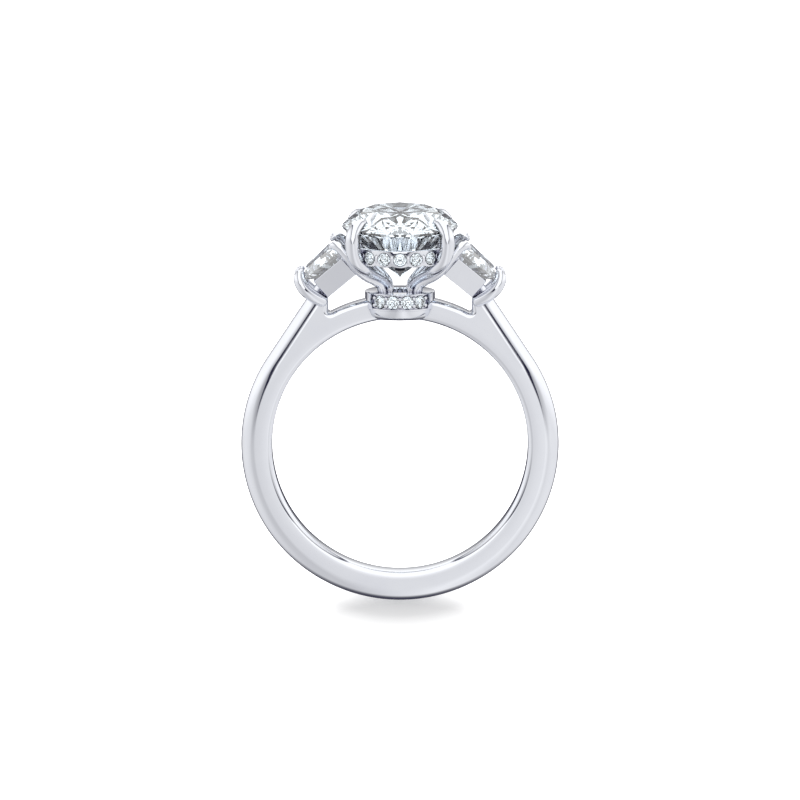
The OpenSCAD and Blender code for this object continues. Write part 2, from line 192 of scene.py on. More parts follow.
def grid(points: Array, wrap_u: bool = False, wrap_v: bool = False) -> Patch:
    """Spans four-sided faces over a grid of points.

    Args:
        points: An array of rows, columns and three coordinates.
        wrap_u: Whether the last row joins the first.
        wrap_v: Whether the last column joins the first.

    Returns:
        The patch, which joins each point to its neighbours in the next row and column.
    """
    index = np.arange(points.shape[0] * points.shape[1]).reshape(points.shape[:2])
    if wrap_u:
        index = np.vstack([index, index[:1]])
    if wrap_v:
        index = np.hstack([index, index[:, :1]])
    quads = np.stack([index[:-1, :-1], index[1:, :-1], index[1:, 1:], index[:-1, 1:]], -1)
    return Patch(points.reshape(-1, 3), [quads.reshape(-1, 4)])


def flat_face(outline: Array) -> Patch:
    """One many-sided flat face inside a closed outline of points."""
    return Patch(outline, [np.arange(len(outline))[None, :]])


def smooth_curve(table: Array, steps: int) -> Array:
    """Carries a smooth curve through the rows of a table.

    Between rows b and c, with neighbours a and d and share f, it is the Catmull-Rom cubic
    0.5 (2b + (c-a) f + (2a-5b+4c-d) f^2 + (3b-a-3c+d) f^3).

    Args:
        table: One row for each point that the curve passes.
        steps: How many equal shares of the table the curve is cut into.

    Returns:
        An array of steps + 1 rows.
    """
    last = len(table) - 1
    share = np.arange(steps + 1) / steps * last
    i = np.minimum(np.floor(share).astype(int), last - 1)
    f = (share - i)[:, None]
    a, b = table[np.maximum(i - 1, 0)], table[i]
    c, d = table[i + 1], table[np.minimum(i + 2, last)]
    return 0.5 * (2 * b + (c - a) * f + (2 * a - 5 * b + 4 * c - d) * f**2
                  + (3 * b - a - 3 * c + d) * f**3)


def unit(vectors: Array) -> Array:
    """The same vectors with length one."""
    return vectors / np.linalg.norm(vectors, axis=-1, keepdims=True)


def swept_bar(table: Array, steps: int = 72, sides: int = 36) -> Patch:
    """Carries a circle along a smooth curve and closes both ends with a half ball.

    A point lies at middle + radius (u cos w + v sin w), where u and v stand square to the
    curve's direction. On the end balls the middle moves on by radius sin d and the radius
    shrinks by cos d.

    Args:
        table: Rows of x, y, z and radius that the curve passes.
        steps: Circles along the curve.
        sides: Points round each circle.

    Returns:
        The closed bar.
    """
    path = smooth_curve(np.asarray(table, float), steps)
    middle, radius = path[:, :3], path[:, 3]
    ahead = unit(np.gradient(middle, axis=0))
    dome = np.radians(np.linspace(90, 0, 11))[:-1]
    head = middle[0] - ahead[0] * (radius[0] * np.sin(dome))[:, None]
    tail = middle[-1] + ahead[-1] * (radius[-1] * np.sin(dome[::-1]))[:, None]
    centres = np.vstack([head, middle, tail])
    radii = np.concatenate([radius[0] * np.cos(dome), radius, radius[-1] * np.cos(dome[::-1])])
    ends = [np.tile(ahead[i], (len(dome), 1)) for i in (0, -1)]
    dirs = np.vstack([ends[0], ahead, ends[1]])
    side = np.array([0.6, 0.8, 0.0]) if abs(ahead[0][2]) > 0.9 else np.cross(ahead[0], [0, 0, 1])
    u = unit(side - dirs * (dirs @ side)[:, None])
    v = np.cross(dirs, u)
    turn = np.linspace(0, 2 * math.pi, sides, endpoint=False)
    rings = centres[:, None] + radii[:, None, None] * (
        u[:, None] * np.cos(turn)[:, None] + v[:, None] * np.sin(turn)[:, None])
    return grid(rings, wrap_v=True)


def revolved(profile: Array, count: int) -> Patch:
    """Turns a profile once round Z: a point lies at (r cos w, r sin w, z).

    Args:
        profile: Rows of r and z. The surface is closed where r is zero.
        count: Steps round the axis.

    Returns:
        The surface.
    """
    turn = np.linspace(0, 2 * math.pi, count, endpoint=False)
    r, z = profile[:, 0], profile[:, 1]
    points = np.stack([r[None] * np.cos(turn)[:, None], r[None] * np.sin(turn)[:, None],
                       np.broadcast_to(z, (count, len(z)))], -1)
    return grid(points, wrap_u=True)


def turned_round_finger(r: Array, y: Array, angles: Array) -> Array:
    """Turns a profile of r and y rows round the finger: a point lies at (r cos w, y, r sin w)."""
    return np.stack([r * np.cos(angles)[:, None], np.broadcast_to(y, (len(angles), len(y))),
                     r * np.sin(angles)[:, None]], -1)


def ellipsoid(radii: tuple[float, float, float], count: int = 20) -> Array:
    """Spans an ellipsoid: a point lies at (a cos u cos w, b cos u sin w, c sin u).

    Args:
        radii: Its half axes a, b and c.
        count: Steps round it.

    Returns:
        A grid of points from pole to pole along z.
    """
    up = np.linspace(-math.pi / 2, math.pi / 2, count // 2 + 1)[:, None]
    turn = np.linspace(0, 2 * math.pi, count, endpoint=False)[None]
    ball = np.stack([np.cos(up) * np.cos(turn), np.cos(up) * np.sin(turn),
                     np.broadcast_to(np.sin(up), (count // 2 + 1, count))], -1)
    return ball * np.array(radii)


@dataclass(frozen=True)
class Spot:
    """A place on an upright wall, where a small stone or a grain sits and looks outwards."""

    middle: tuple[float, float, float]
    out_deg: float

    def set_in(self, points: Array) -> Array:
        """Brings points to this place, turned about Z by its angle.

        Args:
            points: Rows of x down the wall, y along it and z out of it.

        Returns:
            The same rows in the ring's frame.
        """
        turn = math.radians(self.out_deg)
        x, y, z = points[..., 0], points[..., 1], points[..., 2]
        out = z * math.cos(turn) - y * math.sin(turn)
        along = z * math.sin(turn) + y * math.cos(turn)
        return np.stack([out, along, -x], -1) + np.array(self.middle)


def make_piece(name: str, patches: Sequence[Patch], ring_frame: RingFrame) -> bpy.types.Object:
    """Welds patches into one mesh object that lies in the row frame.

    Args:
        name: The piece's name.
        patches: Its surfaces, in the upright ring's frame.
        ring_frame: Where the ring lies.

    Returns:
        The new object, linked to the scene, with its faces outward.
    """
    starts = np.cumsum([0] + [len(patch.points) for patch in patches])
    faces: list[list[int]] = []
    for start, patch in zip(starts, patches):
        for block in patch.faces:
            faces += (block + start).tolist()
    mesh = bpy.data.meshes.new(name)
    mesh.from_pydata(ring_frame.place(np.vstack([patch.points for patch in patches])), [], faces)
    work = bmesh.new()
    work.from_mesh(mesh)
    bmesh.ops.remove_doubles(work, verts=work.verts, dist=WELD)
    bmesh.ops.dissolve_degenerate(work, edges=work.edges, dist=WELD)
    bmesh.ops.recalc_face_normals(work, faces=work.faces)
    work.to_mesh(mesh)
    work.free()
    piece = bpy.data.objects.new(name, mesh)
    bpy.context.scene.collection.objects.link(piece)
    return piece


def grown_copy(node: str, grow: float) -> bpy.types.Object:
    """Makes a closed copy of a stone, scaled from its middle by 1 + grow / its least half size.

    Args:
        node: The stone's name.
        grow: The gap, in metres.

    Returns:
        An object that cuts the stone's bed.
    """
    source = frame["nodes"][node].data
    work = bmesh.new()
    work.from_mesh(source)
    bmesh.ops.remove_doubles(work, verts=work.verts, dist=WELD)
    low, high = (np.array(corner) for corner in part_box(node))
    middle, half = (low + high) / 2, (high - low) / 2
    scale = 1 + grow / half.min()
    bmesh.ops.transform(work, verts=work.verts, matrix=Matrix.Translation(Vector(middle))
                        @ Matrix.Scale(scale, 4) @ Matrix.Translation(Vector(-middle)))
    bmesh.ops.recalc_face_normals(work, faces=work.faces)
    mesh = bpy.data.meshes.new(node + "_bed")
    work.to_mesh(mesh)
    work.free()
    cutter = bpy.data.objects.new(node + "_bed", mesh)
    bpy.context.scene.collection.objects.link(cutter)
    return cutter


def carve(piece: bpy.types.Object, cutters: Sequence[bpy.types.Object]) -> None:
    """Takes the cutters' solids out of a piece for good.

    Args:
        piece: The piece, which gets the carved mesh.
        cutters: Closed solids. They stay for other pieces.
    """
    for cutter in cutters:
        cut = piece.modifiers.new("cut", "BOOLEAN")
        cut.operation, cut.solver, cut.object = "DIFFERENCE", "EXACT", cutter
    graph = bpy.context.evaluated_depsgraph_get()
    carved = bpy.data.meshes.new_from_object(piece.evaluated_get(graph), depsgraph=graph)
    old = piece.data
    piece.modifiers.clear()
    piece.data = carved
    carved.name = piece.name
    bpy.data.meshes.remove(old)


def discard(objects: Sequence[bpy.types.Object]) -> None:
    """Removes cutters once nothing needs them.

    Args:
        objects: The cutters, each with a mesh of its own.
    """
    for thing in objects:
        mesh = thing.data
        bpy.data.objects.remove(thing)
        bpy.data.meshes.remove(mesh)


@dataclass
class Recipe:
    """A finish as a node tree, filled with named nodes, each fed by those before it."""

    tree: bpy.types.NodeTree
    nodes: dict[str, bpy.types.Node] = field(default_factory=dict)

    def add(self, name: str, kind: str, settings: dict | None = None,
            links: dict[str | int, Link] | None = None) -> None:
        """Adds a node with its settings and links.

        Args:
            name: What later nodes call it.
            kind: The node's type without its "ShaderNode", such as "MapRange".
            settings: Sockets with values, properties of the node with values, and under "stops"
                a ramp's places with their shades of grey.
            links: Sockets of this node with the nodes that feed them, each by its name, or by
                its name and its output where that isn't the first.
        """
        node = self.nodes[name] = self.tree.nodes.new("ShaderNode" + kind)
        for key, value in (settings or {}).items():
            if key == "stops":
                marks = node.color_ramp.elements
                while len(marks) < len(value):
                    marks.new(1.0)
                for mark, (place, shade) in zip(marks, value):
                    mark.position, mark.color = place, (shade, shade, shade, 1.0)
            elif isinstance(key, int) or key in node.inputs:
                node.inputs[key].default_value = value
            else:
                setattr(node, key, value)
        for key, link in (links or {}).items():
            source, output = (link, 0) if isinstance(link, str) else link
            self.tree.links.new(self.nodes[source].outputs[output], node.inputs[key])


def blank_recipe(owner: bpy.types.Material | bpy.types.World) -> Recipe:
    """Turns on the nodes of a material or a world and takes out those that it came with.

    Args:
        owner: The material or the world.

    Returns:
        The recipe to fill.
    """
    owner.use_nodes = True
    owner.node_tree.nodes.clear()
    return Recipe(owner.node_tree)


def eased(start: float, end: float, low: float = 0.0, high: float = 1.0) -> dict:
    """Settings that carry start..end to low..high along an S curve, held at both ends."""
    return {"interpolation_type": "SMOOTHSTEP", "From Min": start, "From Max": end,
            "To Min": low, "To Max": high}


def linear(colour: str) -> tuple[float, float, float, float]:
    """Turns an sRGB hex colour into Blender's linear colour.

    Args:
        colour: The colour, such as "#EEF0F5".

    Returns:
        Red, green, blue and full alpha.
    """
    share = np.array([int(colour[i:i + 2], 16) for i in (1, 3, 5)]) / 255
    low, high = share / 12.92, ((share + 0.055) / 1.055) ** 2.4
    red, green, blue = np.where(share <= 0.04045, low, high)
    return float(red), float(green), float(blue), 1.0


@dataclass(frozen=True)
class PolishedWhiteGold:
    """Rhodium-plated white gold, cast and buffed to a mirror.

    The eye gets a bright, faintly lilac silver that mirrors the room sharply. Soft clouds from
    the buffing wheel turn it a little duller here and there, hairlines break the reflections,
    and narrow corners get a painted dusky blue shade in the colour, which stands in for metal
    mirroring metal again and again.
    """

    colour: str = "#EEF0F5"
    shade: str = "#E8EAF1"
    # The colour of the painted shade that darkens narrow corners
    corner: str = "#4A4A6E"
    # How far the painted corner shade reaches, and the shares of open sky at which it is dark and
    # clear
    painted_shade_mm: float = 0.4
    painted_shade_open: tuple[float, float] = (0.2, 0.8)
    painted_shade_samples: int = 6
    # A buffing cloud's size, the noise between which it shows, and the roughness it brings
    buff_mm: float = 1.4
    buff_noise: tuple[float, float] = (0.35, 0.7)
    roughness: tuple[float, float] = (0.035, 0.075)
    # Real hairlines are about 0.01 mm apart. They are drawn coarser, so that they show
    hair_mm: float = 0.12
    hair_depth_mm: float = 0.002
    hair_strength: float = 0.05

    def make(self) -> bpy.types.Material:
        """Builds the material.

        Returns:
            The material, with buffing clouds in its colour and roughness, painted shade in its
            corners, and hairlines as bump.
        """
        material = bpy.data.materials.new("polished_white_gold")
        recipe = blank_recipe(material)
        recipe.add("place", "TexCoord")
        recipe.add("clouds", "TexNoise", {"Scale": 1 / (self.buff_mm * MM), "Detail": 2.0},
                   {"Vector": ("place", "Object")})
        recipe.add("colour", "Mix", {"data_type": "RGBA", 6: linear(self.colour),
                                     7: linear(self.shade)}, {0: ("clouds", "Fac")})
        # Painted shade: the colour turns towards the navy corner colour where ambient occlusion
        # finds metal close by
        recipe.add("painted_corner_shade", "AmbientOcclusion", {"samples": self.painted_shade_samples,
                                                "Distance": self.painted_shade_mm * MM})
        recipe.add("open", "MapRange", eased(*self.painted_shade_open), {"Value": ("painted_corner_shade", "AO")})
        # The painted corner shade is left out where the metal is seen through a stone
        recipe.add("path", "LightPath")
        recipe.add("clear", "Math", {"operation": "MAXIMUM"},
                   {0: "open", 1: ("path", "Is Transmission Ray")})
        recipe.add("shaded", "Mix", {"data_type": "RGBA", 6: linear(self.corner)},
                   {0: "clear", 7: ("colour", 2)})
        recipe.add("rough", "MapRange", {
            "From Min": self.buff_noise[0], "From Max": self.buff_noise[1],
            "To Min": self.roughness[0], "To Max": self.roughness[1]},
            {"Value": ("clouds", "Fac")})
        recipe.add("hairs", "TexNoise", {"Scale": 1 / (self.hair_mm * MM), "Detail": 3.0},
                   {"Vector": ("place", "Object")})
        recipe.add("bump", "Bump", {"Strength": self.hair_strength,
                                    "Distance": self.hair_depth_mm * MM},
                   {"Height": ("hairs", "Fac")})
        recipe.add("metal", "BsdfPrincipled", {"Metallic": 1.0},
                   {"Base Color": ("shaded", 2), "Roughness": "rough", "Normal": "bump"})
        recipe.add("out", "OutputMaterial", links={"Surface": "metal"})
        return material


@dataclass(frozen=True)
class CutDiamond:
    """Colourless diamond, cut and polished to flat facets.

    The eye gets clear glass that bends light hard and throws it back in bright and dark chips.
    The glow stands in for light that a step cut throws after more bounces than are followed.
    """

    name: str = "cut_diamond"
    glow: float = 0.0
    colour: str = "#FCFDFF"
    shade: str = "#F3F7FA"
    ior: float = 2.417
    cloud_mm: float = 0.8

    def make(self) -> bpy.types.Material:
        """Builds the material.

        Returns:
            The material, clear, with a trace of cloud in its colour.
        """
        material = bpy.data.materials.new(self.name)
        recipe = blank_recipe(material)
        recipe.add("place", "TexCoord")
        recipe.add("clouds", "TexNoise", {"Scale": 1 / (self.cloud_mm * MM), "Detail": 1.0},
                   {"Vector": ("place", "Object")})
        recipe.add("colour", "Mix", {"data_type": "RGBA", 6: linear(self.colour),
                                     7: linear(self.shade)}, {0: ("clouds", "Fac")})
        recipe.add("diamond", "BsdfPrincipled", {
            "Transmission Weight": 1.0, "IOR": self.ior, "Roughness": 0.0,
            "Emission Color": linear("#FFFFFF"), "Emission Strength": self.glow},
            {"Base Color": ("colour", 2)})
        recipe.add("out", "OutputMaterial", links={"Surface": "diamond"})
        return material


@dataclass
class Shank:
    """The band round the finger, its two straight shoulders and the rail over the finger."""

    sizes: RingSizes
    # The softened inner edge, and how far up the round each shoulder leaves it
    comfort_r: float = 0.33
    shoulder_deg: float = 33.5
    # The edge's rounding up the window's wall and along the rail, and the corner between them
    edge_r: float = 0.07
    rail_edge_r: float = 0.31
    corner_r: float = 0.14
    # Points along the wall, the corner, the rail, the band, the faces' arc and a shoulder, and
    # round the outside's profile
    wall_steps: int = 16
    corner_steps: int = 12
    rail_steps: int = 64
    band_steps: int = 220
    arc_steps: int = 60
    shoulder_steps: int = 20
    round_steps: int = 25

    def window_edge(self) -> tuple[Array, Array, float]:
        """The edge that runs down the right window's outer wall and over the rail to its middle.

        The wall stands at x = window_x, a quarter round of corner_r turns it into the rail's
        circle, and each point has the direction that looks out of the metal there.

        Returns:
            The points and their outward directions, both as rows of x and z, and how far up the
            basket's slope its outer wall stands.
        """
        s = self.sizes
        n = math.radians(self.shoulder_deg)
        inner = s.window_x + self.edge_r
        tip = (s.round_r - inner * math.cos(n)) / math.sin(n)
        tilt = math.radians(s.side_tilt)
        plane = -self.edge_r * math.cos(tilt) + (tip - s.basket_z) * math.sin(tilt)
        top = s.basket_z + plane / math.sin(tilt)
        cx = s.window_x - self.corner_r
        cz = math.sqrt((s.rail_r + self.corner_r) ** 2 - cx**2)
        wall_z = np.linspace(top, cz, self.wall_steps)
        wall = np.stack([np.full(self.wall_steps, s.window_x), wall_z], -1)
        start, end = math.pi, math.atan2(cz, cx)
        bend = np.linspace(start, end, self.corner_steps)[1:-1]
        look = np.stack([np.cos(bend), np.sin(bend)], -1)
        corner = np.array([cx, cz]) - self.corner_r * look
        arc = np.linspace(end, math.pi / 2, self.rail_steps)
        rail = np.stack([np.cos(arc), np.sin(arc)], -1)
        points = np.vstack([wall, corner, s.rail_r * rail])
        looks = np.vstack([np.tile([-1.0, 0.0], (self.wall_steps, 1)), look, rail])
        return points, looks, plane

    def half_round(self) -> tuple[Array, Array]:
        """The outside's profile, half_w cos p outwards and half_w sin p from back to front."""
        turn = np.linspace(math.pi / 2, -math.pi / 2, self.round_steps)
        return self.sizes.half_w * np.cos(turn), self.sizes.half_w * np.sin(turn)

    def finger_surface(self, around: Array) -> Patch:
        """Turns the finger hole's profile round Y.

        The profile runs in along one flat face from round_r, over a quarter round of comfort_r,
        across the hole, and out again along the other face.

        Args:
            around: Angles once round the finger.

        Returns:
            The surface.
        """
        s = self.sizes
        quarter = np.linspace(0, math.pi / 2, 9)
        r = s.hole_r + self.comfort_r * (1 - np.sin(quarter))
        y = s.half_w - self.comfort_r * (1 - np.cos(quarter))
        r = np.concatenate([[s.round_r, (s.round_r + r[0]) / 2], r])
        y = np.concatenate([[s.half_w, s.half_w], y])
        r, y = np.concatenate([r, r[::-1]]), np.concatenate([y, -y[::-1]])
        return grid(turned_round_finger(r, y, around), wrap_u=True)

    def shoulder(self, plane: float) -> Array:
        """Carries the half round straight up the right shoulder.

        With n for shoulder_deg, it leaves the band at round_r (cos n, sin n), runs along
        (-sin n, cos n), and ends on the plane of the basket's outer wall.

        Args:
            plane: How far up the basket's slope that plane stands.

        Returns:
            A grid of points, from the band to the basket and from back to front.
        """
        s = self.sizes
        n, tilt = math.radians(self.shoulder_deg), math.radians(s.side_tilt)
        across, along = np.array([math.cos(n), math.sin(n)]), np.array([-math.sin(n), math.cos(n)])
        up_slope = np.array([-math.cos(tilt), math.sin(tilt)])
        foot = np.array([s.window_x, s.basket_z])
        bulge, side = self.half_round()
        start = (s.round_r + bulge)[:, None] * across
        length = (plane - (start - foot) @ up_slope) / (along @ up_slope)
        share = np.linspace(0, 1, self.shoulder_steps)[:, None]
        points = start + (share * length)[..., None] * along
        return np.stack([points[..., 0], np.broadcast_to(side, points.shape[:2]),
                         points[..., 1]], -1)

    def window_rim(self, edge: Array, looks: Array, plane: float) -> Array:
        """Rounds the metal over the window's edge, from the back face to the front.

        A point stands back from the edge by size (1 - sin b), and from the flat face by
        size (1 - cos b). The size grows from edge_r to rail_edge_r by g g (3 - 2 g), where g
        is the share of the way up the wall.

        Args:
            edge: Rows of x and z along the edge.
            looks: The outward direction of each row.
            plane: How far up the basket's slope its outer wall stands, where the rim begins.

        Returns:
            A grid of points, along the edge and from back to front.
        """
        s = self.sizes
        tilt = math.radians(s.side_tilt)
        bend = np.linspace(0, math.pi / 2, 11)
        grow = np.clip(np.arange(len(edge)) / self.wall_steps, 0, 1)
        size = self.edge_r + (self.rail_edge_r - self.edge_r) * grow * grow * (3 - 2 * grow)
        inset = size[:, None] * (1 - np.sin(bend))
        rise = s.half_w - size[:, None] * (1 - np.cos(bend))
        inset, rise = np.hstack([inset, inset[:, ::-1]]), np.hstack([rise, -rise[:, ::-1]])
        rim = edge[:, None] - inset[..., None] * looks[:, None]
        rim[0, :, 1] = s.basket_z + (plane + inset[0] * math.cos(tilt)) / math.sin(tilt)
        return np.stack([rim[..., 0], rise, rim[..., 1]], -1)

    def shape(self) -> list[Patch]:
        """Works out all the surfaces of the shank.

        The half round goes round the band up to shoulder_deg on each side and on up the
        shoulders. A flat face on the front and on the back spans from there to the windows.

        Returns:
            Patches that weld into one closed surface.
        """
        s = self.sizes
        n = math.radians(self.shoulder_deg)
        low = np.linspace(-math.pi - n, n, self.band_steps)
        high = np.linspace(n, math.pi / 2, self.arc_steps)
        around = np.concatenate([low, high[1:], math.pi - high[-2:0:-1]])
        bulge, side = self.half_round()
        band = [self.finger_surface(around),
                grid(turned_round_finger(s.round_r + bulge, side, low))]

        edge, looks, plane = self.window_edge()
        shoulder, rim = self.shoulder(plane), self.window_rim(edge, looks, plane)
        right = [grid(shoulder), grid(rim)]
        arc = s.round_r * np.stack([np.cos(high), np.zeros(len(high)), np.sin(high)], -1)
        for y in (s.half_w, -s.half_w):
            flat = np.vstack([arc, rim[::-1, 0], shoulder[-2:0:-1, 0]])
            flat[:, 1] = y
            right.append(flat_face(flat))
        right.append(flat_face(np.vstack([shoulder[-1], rim[0, 1:-1][::-1]])))
        return band + right + [patch.flipped(0) for patch in right]

    def build(self, ring_frame: RingFrame) -> bpy.types.Object:
        """Makes the shank, with the collar's hole through its rail.

        Args:
            ring_frame: Where the ring lies.

        Returns:
            The shank.
        """
        s = self.sizes
        shank = make_piece("shank", self.shape(), ring_frame)
        hole = np.array([[0, s.hole_r - 1], [s.collar_hole_r, s.hole_r - 1],
                         [s.collar_hole_r, s.collar_top], [0, s.collar_top]])
        drill = make_piece("drill", [revolved(hole, 96)], ring_frame)
        carve(shank, [drill])
        discard([drill])
        return shank


@dataclass
class Collar:
    """The drum under the centre stone: two channels of small stones and a lip below them."""

    sizes: RingSizes
    # The lip's height and how far it draws in, and what it stays back from the finger hole
    lip_h: float = 0.68
    lip_draw: float = 0.55
    foot_back: float = 0.02
    # The plain edge above and below a channel, and the rim's rounding
    plain_edge: float = 0.08
    rim_r: float = 0.06
    # Stones in a channel, the angle from one to the next, and half the channel in such steps
    stones: int = 4
    step_deg: float = 24.2
    channel_steps: float = 2.2
    stones_z: float = 9.465
    stone_d: float = 0.84
    # Grains, and how far from the stones' row they sit as a share of a stone
    grain_r: float = 0.15
    grain_rise: float = 0.28

    def spot(self, steps: float, face: Face, rise: float = 0.0) -> Spot:
        """Finds a place on a channel's floor, at (r cos w, r sin w, stones_z + rise).

        Args:
            steps: How many steps of step_deg it lies from the channel's middle.
            face: The channel's face of the ring.
            rise: How far above the stones' row it lies.

        Returns:
            The place.
        """
        s = self.sizes
        out = face.value * 90 + steps * self.step_deg
        r = s.collar_r - s.channel_depth
        return Spot((r * math.cos(math.radians(out)), r * math.sin(math.radians(out)),
                     self.stones_z + rise), out)

    def shape(self) -> list[Patch]:
        """Turns the drum's profile round Z and sinks the channels into it.

        A point of the profile lies at r - channel_depth * inside, where inside is 1 on the
        channel's rows and angles, and no lower than the circle of the finger.

        Returns:
            One closed patch.
        """
        s = self.sizes
        draw = s.collar_r - s.channel_depth
        foot = s.hole_r + self.lip_h
        low, high = foot + self.plain_edge, s.collar_top - self.plain_edge
        round_in = np.linspace(0, math.pi / 2, 5)
        top = s.collar_top
        rim = np.stack([s.collar_r - self.rim_r * (1 - np.sin(round_in)),
                        top - self.rim_r * (1 - np.cos(round_in))], -1)
        drop = np.linspace(0, math.pi / 2, 14)
        lip = np.stack([draw - self.lip_draw * (1 - np.cos(drop)),
                        foot - self.lip_h * np.sin(drop)], -1)
        # Radius and height of each row, and 1 where the channel sinks it
        rows = [[s.collar_hole_r, top - self.rim_r, 0], [s.collar_hole_r + self.rim_r, top, 0],
                *[[r, z, 0] for r, z in rim], [s.collar_r, high, 0], [s.collar_r, high, 1],
                [s.collar_r, (high + low) / 2, 1], [s.collar_r, low, 1], [s.collar_r, low, 0],
                [s.collar_r, foot, 0], *[[r, z, 0] for r, z in lip],
                [draw - self.lip_draw, s.hole_r - self.lip_h, 0],
                [s.collar_hole_r, s.hole_r - self.lip_h, 0]]
        r, z, sunk = np.array(rows).T
        half = math.radians(self.channel_steps * self.step_deg)
        arc, rest = np.linspace(-half, half, 60), np.linspace(half, math.pi - half, 40)
        turns, inside = [], []
        for middle in (-math.pi / 2, math.pi / 2):
            turns += [middle + arc, middle + rest]
            inside += [np.ones_like(arc), np.zeros_like(rest)]
        turn, inside = np.concatenate(turns)[:, None], np.concatenate(inside)[:, None]
        radius = r - s.channel_depth * sunk * inside
        x, y = radius * np.cos(turn), radius * np.sin(turn)
        floor = np.sqrt((s.hole_r + self.foot_back) ** 2 - x**2)
        return [grid(np.stack([x, y, np.maximum(z, floor)], -1), wrap_u=True, wrap_v=True)]

    def grains(self) -> list[Patch]:
        """Works out the small domes of metal that hold the collar's stones.

        Returns:
            A patch for each: two between each pair of stones, and two at each end of a row.
        """
        dome = ellipsoid((self.grain_r, self.grain_r, self.grain_r))
        return [grid(self.spot(step - self.stones / 2, face,
                               rise * self.stone_d * self.grain_rise).set_in(dome), wrap_v=True)
                for face in Face for step in range(self.stones + 1) for rise in (-1, 1)]

    def build(self, ring_frame: RingFrame) -> list[bpy.types.Object]:
        """Makes the drum with its seats, and its grains.

        Args:
            ring_frame: Where the ring lies.

        Returns:
            The drum, and all grains as one piece.
        """
        drum = make_piece("collar", self.shape(), ring_frame)
        seats = [seat(self.spot(step - (self.stones - 1) / 2, face), self.stone_d, self.sizes.gap)
                 for face in Face for step in range(self.stones)]
        cutter = make_piece("collar_seats", seats, ring_frame)
        carve(drum, [cutter])
        discard([cutter])
        return [drum, make_piece("collar_grains", self.grains(), ring_frame)]


def seat(spot: Spot, diameter: float, gap: float) -> Patch:
    """Works out the hollow for a small round stone.

    Its profile is a cone under the pavilion, a wall round the crown and a flat top.

    Args:
        spot: The middle of the stone's girdle.
        diameter: The stone's diameter.
        gap: The room round it.

    Returns:
        The hollow as a closed patch.
    """
    r = diameter / 2 + gap
    top = CROWN_SHARE * diameter + gap
    point = PAVILION_SHARE * diameter + gap
    hollow = revolved(np.array([[0, -point], [r, -gap], [r, top], [0, top]]), 40)
    return Patch(spot.set_in(hollow.points), hollow.faces)


@dataclass
class HiddenHalo:
    """The oval rail under the centre stone's girdle, with small stones in front and behind."""

    sizes: RingSizes
    # The oval's half axes, the rail's foot and height, and its wall above and below
    a: float = 3.35
    b: float = 4.55
    foot_z: float = 12.03
    height: float = 1.07
    wall_top: float = 0.27
    wall_foot: float = 0.6
    edge_r: float = 0.05
    # Stones on a face, and the share of the oval from one to the next
    stones: int = 5
    step_deg: float = 17.8
    stones_z: float = 12.5544
    stone_d: float = 0.82
    # The arcs of the foot, and the share of the rail's height over which they fade out
    scallop: float = 0.09
    scallop_fade: float = 0.3
    # Columns: thickness, how far they stand out, and half their height as a share of a stone
    column_r: float = 0.15
    column_proud: float = 0.1
    column_half: float = 0.36

    def spot(self, steps: float, face: Face) -> Spot:
        """Finds a place on the rail's wall, which looks out square to the oval.

        In front it is (a sin w, -b cos w) and looks along (sin w / a, -cos w / b).

        Args:
            steps: How many steps of step_deg it lies from the wall's middle.
            face: The wall's face of the ring.

        Returns:
            The place.
        """
        turn = math.radians(steps * self.step_deg)
        sin, cos = -face.value * math.sin(turn), face.value * math.cos(turn)
        out = math.degrees(math.atan2(cos / self.b, sin / self.a))
        return Spot((self.a * sin, self.b * cos, self.stones_z), out)

    def shape(self) -> list[Patch]:
        """Carries the rail's four-sided profile round the oval.

        A point lies at ((a + g) sin w, -(b + g) cos w), where g is how far it stands out. Below
        the stones the foot hangs in arcs: it rises by scallop * (2 d)^2, where d is the distance
        in steps to the nearest stone, and the rise fades out with height.

        Returns:
            One closed patch.
        """
        e = self.edge_r
        h, top, foot = self.height, self.wall_top, self.wall_foot
        bend = np.linspace(0, math.pi / 2, 4)
        near, far = e * (1 - np.cos(bend)), e * (1 - np.sin(bend))
        g = np.concatenate([[-foot], -far, [0.0], -near, [-top]])
        up = np.concatenate([[0.0], near, [h / 2], h - far, [h]])
        turn = np.linspace(0, 2 * math.pi, 360, endpoint=False)[:, None]
        step = np.degrees((turn + math.pi / 2) % math.pi - math.pi / 2) / self.step_deg
        away = np.abs(step - np.round(step))
        set_with_stones = np.abs(step) < self.stones / 2
        lift = np.where(set_with_stones, self.scallop * (2 * away) ** 2, 0.0)
        z = self.foot_z + up + lift * np.clip(1 - up / (self.scallop_fade * h), 0, 1)
        points = np.stack([(self.a + g) * np.sin(turn), -(self.b + g) * np.cos(turn), z], -1)
        return [grid(points, wrap_u=True, wrap_v=True)]

    def columns(self) -> list[Patch]:
        """Works out the upright rounded columns of metal between the stones.

        Returns:
            A patch for each, an ellipsoid that stands column_proud out of the wall.
        """
        drop = self.column_r - self.column_proud
        column = ellipsoid((self.stone_d * self.column_half, self.column_r, self.column_r))
        column[..., 2] -= drop
        return [grid(self.spot(step - self.stones / 2, face).set_in(column), wrap_v=True)
                for face in Face for step in range(self.stones + 1)]

    def build(self, ring_frame: RingFrame) -> list[bpy.types.Object]:
        """Makes the rail with its seats, and its columns.

        Args:
            ring_frame: Where the ring lies.

        Returns:
            The rail, and all columns as one piece.
        """
        rail = make_piece("halo_rail", self.shape(), ring_frame)
        seats = [seat(self.spot(step - (self.stones - 1) / 2, face), self.stone_d, self.sizes.gap)
                 for face in Face for step in range(self.stones)]
        cutter = make_piece("halo_seats", seats, ring_frame)
        carve(rail, [cutter])
        discard([cutter])
        return [rail, make_piece("halo_columns", self.columns(), ring_frame)]


